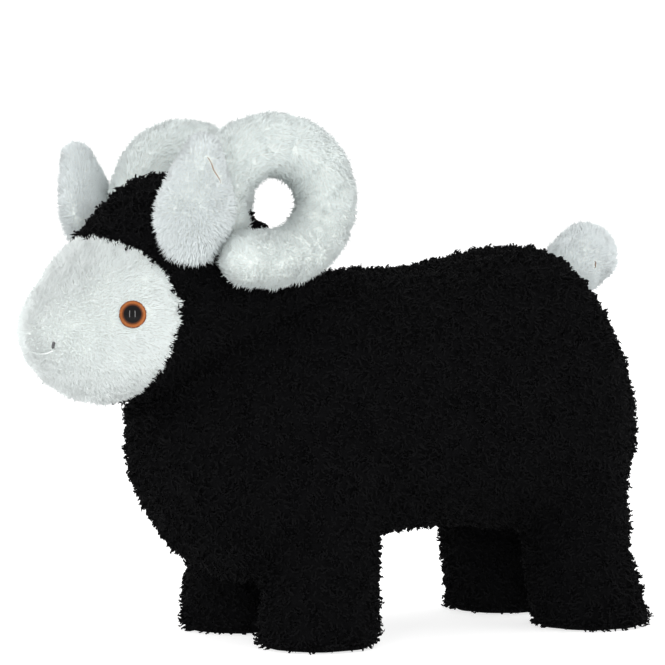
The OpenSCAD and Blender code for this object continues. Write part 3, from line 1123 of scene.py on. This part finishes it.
def face_pile(name, index):
    rng = np.random.default_rng(200 + index)
    points, faces, normals = body.part(index)
    roots, out = scatter(points, faces, normals, FACE_PER_MM2, rng)
    keep = clear_of_pods(roots, FACE_CLEARANCE)
    origin, axis, radius = eyes[name.split("_")[1]]
    from_eye = roots - origin
    from_eye -= (from_eye @ axis)[:, None] * axis
    eye_distance = np.linalg.norm(from_eye, axis=1)
    keep &= eye_distance > radius - 0.5 * MM
    stitch_distance, off_stitch = near_stitches(roots)
    keep &= stitch_distance > THREAD_GAP
    roots, out, from_eye, eye_distance, stitch_distance, off_stitch = (
        v[keep] for v in (roots, out, from_eye, eye_distance, stitch_distance, off_stitch))
    flow = unit(tangent(roots - nose, out)) + np.array([0, 0, -0.25])
    flow += 0.35 * drift(roots, 9 * MM, 31)
    over, stray = white_lean(len(roots), rng)
    lean = unit(tangent(flow, out)) * over
    by_eye = np.clip(1 - (eye_distance - radius) / EYE_RUFF, 0, 1)[:, None]
    lean = lean * (1 - by_eye) + by_eye * 0.08 * unit(tangent(from_eye, out))
    by_stitch = np.clip(1 - (stitch_distance - 0.4 * MM) / (0.9 * MM), 0, 1)[:, None]
    lean = lean * (1 - by_stitch) + by_stitch * 0.85 * unit(tangent(off_stitch, out))
    length = rng.uniform(2.6, 4.0, len(roots)) * MM
    length = length * (1 + 0.2 * wobble(roots, 8 * MM, 35)) * stray
    by_seam = np.clip(1 - off_seam(body_seams, roots)[0] / (5 * MM), 0, 1)
    lean *= 1 - 0.5 * by_seam[:, None]
    length *= 1 - 0.2 * by_seam - 0.35 * np.maximum(by_eye, by_stitch)[:, 0]
    muzzle = np.clip(1 - np.linalg.norm(roots - nose, axis=1) / (30 * MM), 0, 1)
    length *= 1 - 0.25 * muzzle
    mesh = white_fibres(name + "_pile", roots, out, lean, length, FACE_CURL, rng)
    piece(name + "_pile", mesh, FACE_PILE, "white_plush", "ram")


for index, name in enumerate(panel_nodes):
    if name in FACE:
        face_pile(name, index)


# Set for the ears and the tail, so that their pieces ride on no body and hang() bakes them in
# place; its length is not read
POD_BEND = 10 * MM


def hang(obj):
    """Bakes a pod's piece's placement into its mesh, where it rides on no body."""
    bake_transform(obj)


THREAD_RADIUS = 0.26 * MM
THREAD_SIDES = 8
THREAD_POINTS = 13
# How high the closing thread stands over the cloth, among the pile
THREAD_HEIGHT = 1.9 * MM


def closing_thread(name, pod, facing, across, ends):
    """A thread that closes the slit a pod was stuffed through. Returns where it parts the pile.

    ends are two places on the side that `facing` looks out of: a share of 10 mm across, and a
    share of the pod's height.
    """
    skin = skins[name].tree
    points = pod.surface.points
    bottom, top = points[points[:, 2].argmin()], points[points[:, 2].argmax()]
    path, marks = [], []
    for t in np.linspace(0, 1, THREAD_POINTS):
        u, v = (1 - t) * np.array(ends[0]) + t * np.array(ends[1])
        u += 0.03 * math.sin(9 * t)
        start = bottom + v * (top - bottom) + u * 10 * MM * across + 40 * MM * facing
        place = np.array(skin.ray_cast(Vector(start), Vector(-facing))[0])
        marks.append(place)
        arch = 0.25 + 0.75 * math.sin(math.pi * t) ** 0.5
        path.append(place + facing * THREAD_HEIGHT * arch)
    path = np.array(path)
    ahead = unit(np.gradient(path, axis=0))
    over = unit(np.cross(ahead, facing))
    beside = np.cross(over, ahead)
    turns = (np.arange(THREAD_SIDES) * 2 * math.pi / THREAD_SIDES)[None, :, None]
    width = THREAD_RADIUS * (0.45 + 0.55 * np.sin(math.pi * np.linspace(0, 1, len(path))))
    tube = path[:, None] + width[:, None, None] * (
        np.cos(turns) * over[:, None] + np.sin(turns) * beside[:, None])
    points = np.concatenate([tube.reshape(-1, 3), path[:1], path[-1:]])
    faces = []
    last = (THREAD_POINTS - 1) * THREAD_SIDES
    first_end = THREAD_POINTS * THREAD_SIDES
    for k in range(THREAD_SIDES):
        after = (k + 1) % THREAD_SIDES
        for ring in range(0, last, THREAD_SIDES):
            a, b = ring + k, ring + after
            faces += [[a, b, b + THREAD_SIDES], [a, b + THREAD_SIDES, a + THREAD_SIDES]]
        faces += [[after, k, first_end], [last + k, last + after, first_end + 1]]
    thread = piece(
        name + "_closing_thread", mesh_from(name + "_closing_thread", points, np.array(faces)),
        SLIT_BROWN, "dark_thread", None)
    hang(thread)
    fine = [
        mark * (1 - share) + after * share
        for mark, after in zip(marks, marks[1:]) for share in (0, 0.25, 0.5, 0.75)]
    parting = KDTree(len(fine))
    for i, place in enumerate(fine):
        parting.insert(place, i)
    parting.balance()
    return parting


def pod_pieces(pod, material, record_slot, flow, length, per_mm2, bend, rng, parting=None):
    """A pod's two cloth panels and the pile on them. Without a bend they ride on its body."""
    for index, node in enumerate(pod.nodes):
        points, faces, normals = pod.surface.part(index)
        stands_for = [node] + ([pod.filling] if index == 0 else [])
        cloth = piece(
            node + "_cloth", mesh_from(node + "_cloth", points, faces), WHITE_CLOTH, record_slot,
            None if bend else pod.body, *stands_for)
        if bend:
            hang(cloth)
        roots, out = scatter(points, faces, normals, per_mm2, rng)
        # no pile where the root is sewn in
        shown = np.linalg.norm(roots - np.array(pod.pivot), axis=1) > 0.4 * length
        roots, out = roots[shown], out[shown]
        lean, sizes = flow(pod, roots, out, rng)
        if parting:
            distance, away = off_seam(parting, roots)
            by_thread = np.clip(1 - distance / (1.5 * MM), 0, 1)[:, None]
            lean = lean * (1 - by_thread) + 0.9 * by_thread * unit(tangent(away, out))
            sizes = sizes * (1 - 0.3 * by_thread[:, 0])
            kept = distance > THREAD_GAP
            roots, out, lean, sizes = roots[kept], out[kept], lean[kept], sizes[kept]
        mesh = white_fibres(node + "_pile", roots, out, lean, sizes * length, POD_CURL, rng)
        pile = piece(node + "_pile", mesh, material, record_slot, None if bend else pod.body)
        if bend:
            hang(pile)


# Pitch of the overlapping tufts round a horn
TUFT = 6.5 * MM


def horn_pile_flow(pod, roots, out, rng):
    """The pile lies towards the tip in overlapping tufts, like rough shingles."""
    flow = horn_flow(pod, roots, out)
    flow += 0.6 * drift(roots, 9 * MM, 41)
    over, stray = white_lean(len(roots), rng)
    lean = unit(tangent(flow, out)) * over
    from_middle = roots - pod.middle
    along = -np.arctan2(from_middle[:, 2], from_middle[:, 0]) * HORN_LOOP / TUFT
    saw = (along + 0.9 * wobble(roots, 14 * MM, 45)) % 1.0
    return lean, stray * rng.uniform(0.75, 1.0, len(roots)) * (0.7 + 0.36 * saw)


def ear_pile_flow(pod, roots, out, rng):
    """Pile that lies up and out on the ear, and a longer ruff round its foot that hangs out."""
    share = (roots[:, 2:] - pod.low[2]) / (pod.high[2] - pod.low[2])
    ruff = np.clip((0.55 - share) / 0.4, 0, 1)
    outward = (roots - roots.mean(0)) / (14 * MM)
    outward[:, 2] = 0
    flow = 0.5 * outward + (0.8 - 1.5 * ruff) * UP
    flow += 0.4 * drift(roots, 9 * MM, 51)
    over, stray = white_lean(len(roots), rng)
    lean = held_to(tangent(flow, out), 1.0) * over
    return lean, stray * rng.uniform(0.7, 1.0, len(roots)) * (1 + 0.6 * ruff[:, 0])


def tail_pile_flow(pod, roots, out, rng):
    """Pile that lies up and back, with a good deal of drift."""
    flow = np.array([0.6, 0, 0.6]) + 0.7 * drift(roots, 8 * MM, 61)
    over, stray = white_lean(len(roots), rng)
    lean = held_to(tangent(flow, out), 1.0) * over
    return lean, stray * rng.uniform(0.7, 1.0, len(roots)) * (1 + 0.25 * wobble(roots, 9 * MM, 65))


for number, side in enumerate(SIDES):
    pod_pieces(
        pods["horn_" + side], HORN_PILE, "horn_plush", horn_pile_flow, 3.8 * MM, 1.9, None,
        np.random.default_rng(300 + number))
    ear_across = np.array(joint_named(side + "_ear_flex")["axis"]) * -SIDES[side]
    ear_facing = np.cross(ear_across, UP) * -SIDES[side]
    parting = closing_thread(
        "ear_" + side, pods["ear_" + side], ear_facing, ear_across, [(0.15, 0.83), (0.80, 0.62)])
    pod_pieces(
        pods["ear_" + side], SHADED_EAR_PILE, "ear_plush", ear_pile_flow, 3.4 * MM, 2.5, POD_BEND,
        np.random.default_rng(310 + number), parting)
parting = closing_thread(
    "tail", pods["tail"], LEFTWARD, np.array([1.0, 0, 0]), [(0.1, 0.52), (0.25, 0.42)])
pod_pieces(
    pods["tail"], SHADED_EAR_PILE, "white_plush", tail_pile_flow, 3.4 * MM, 2.4, POD_BEND,
    np.random.default_rng(320), parting)
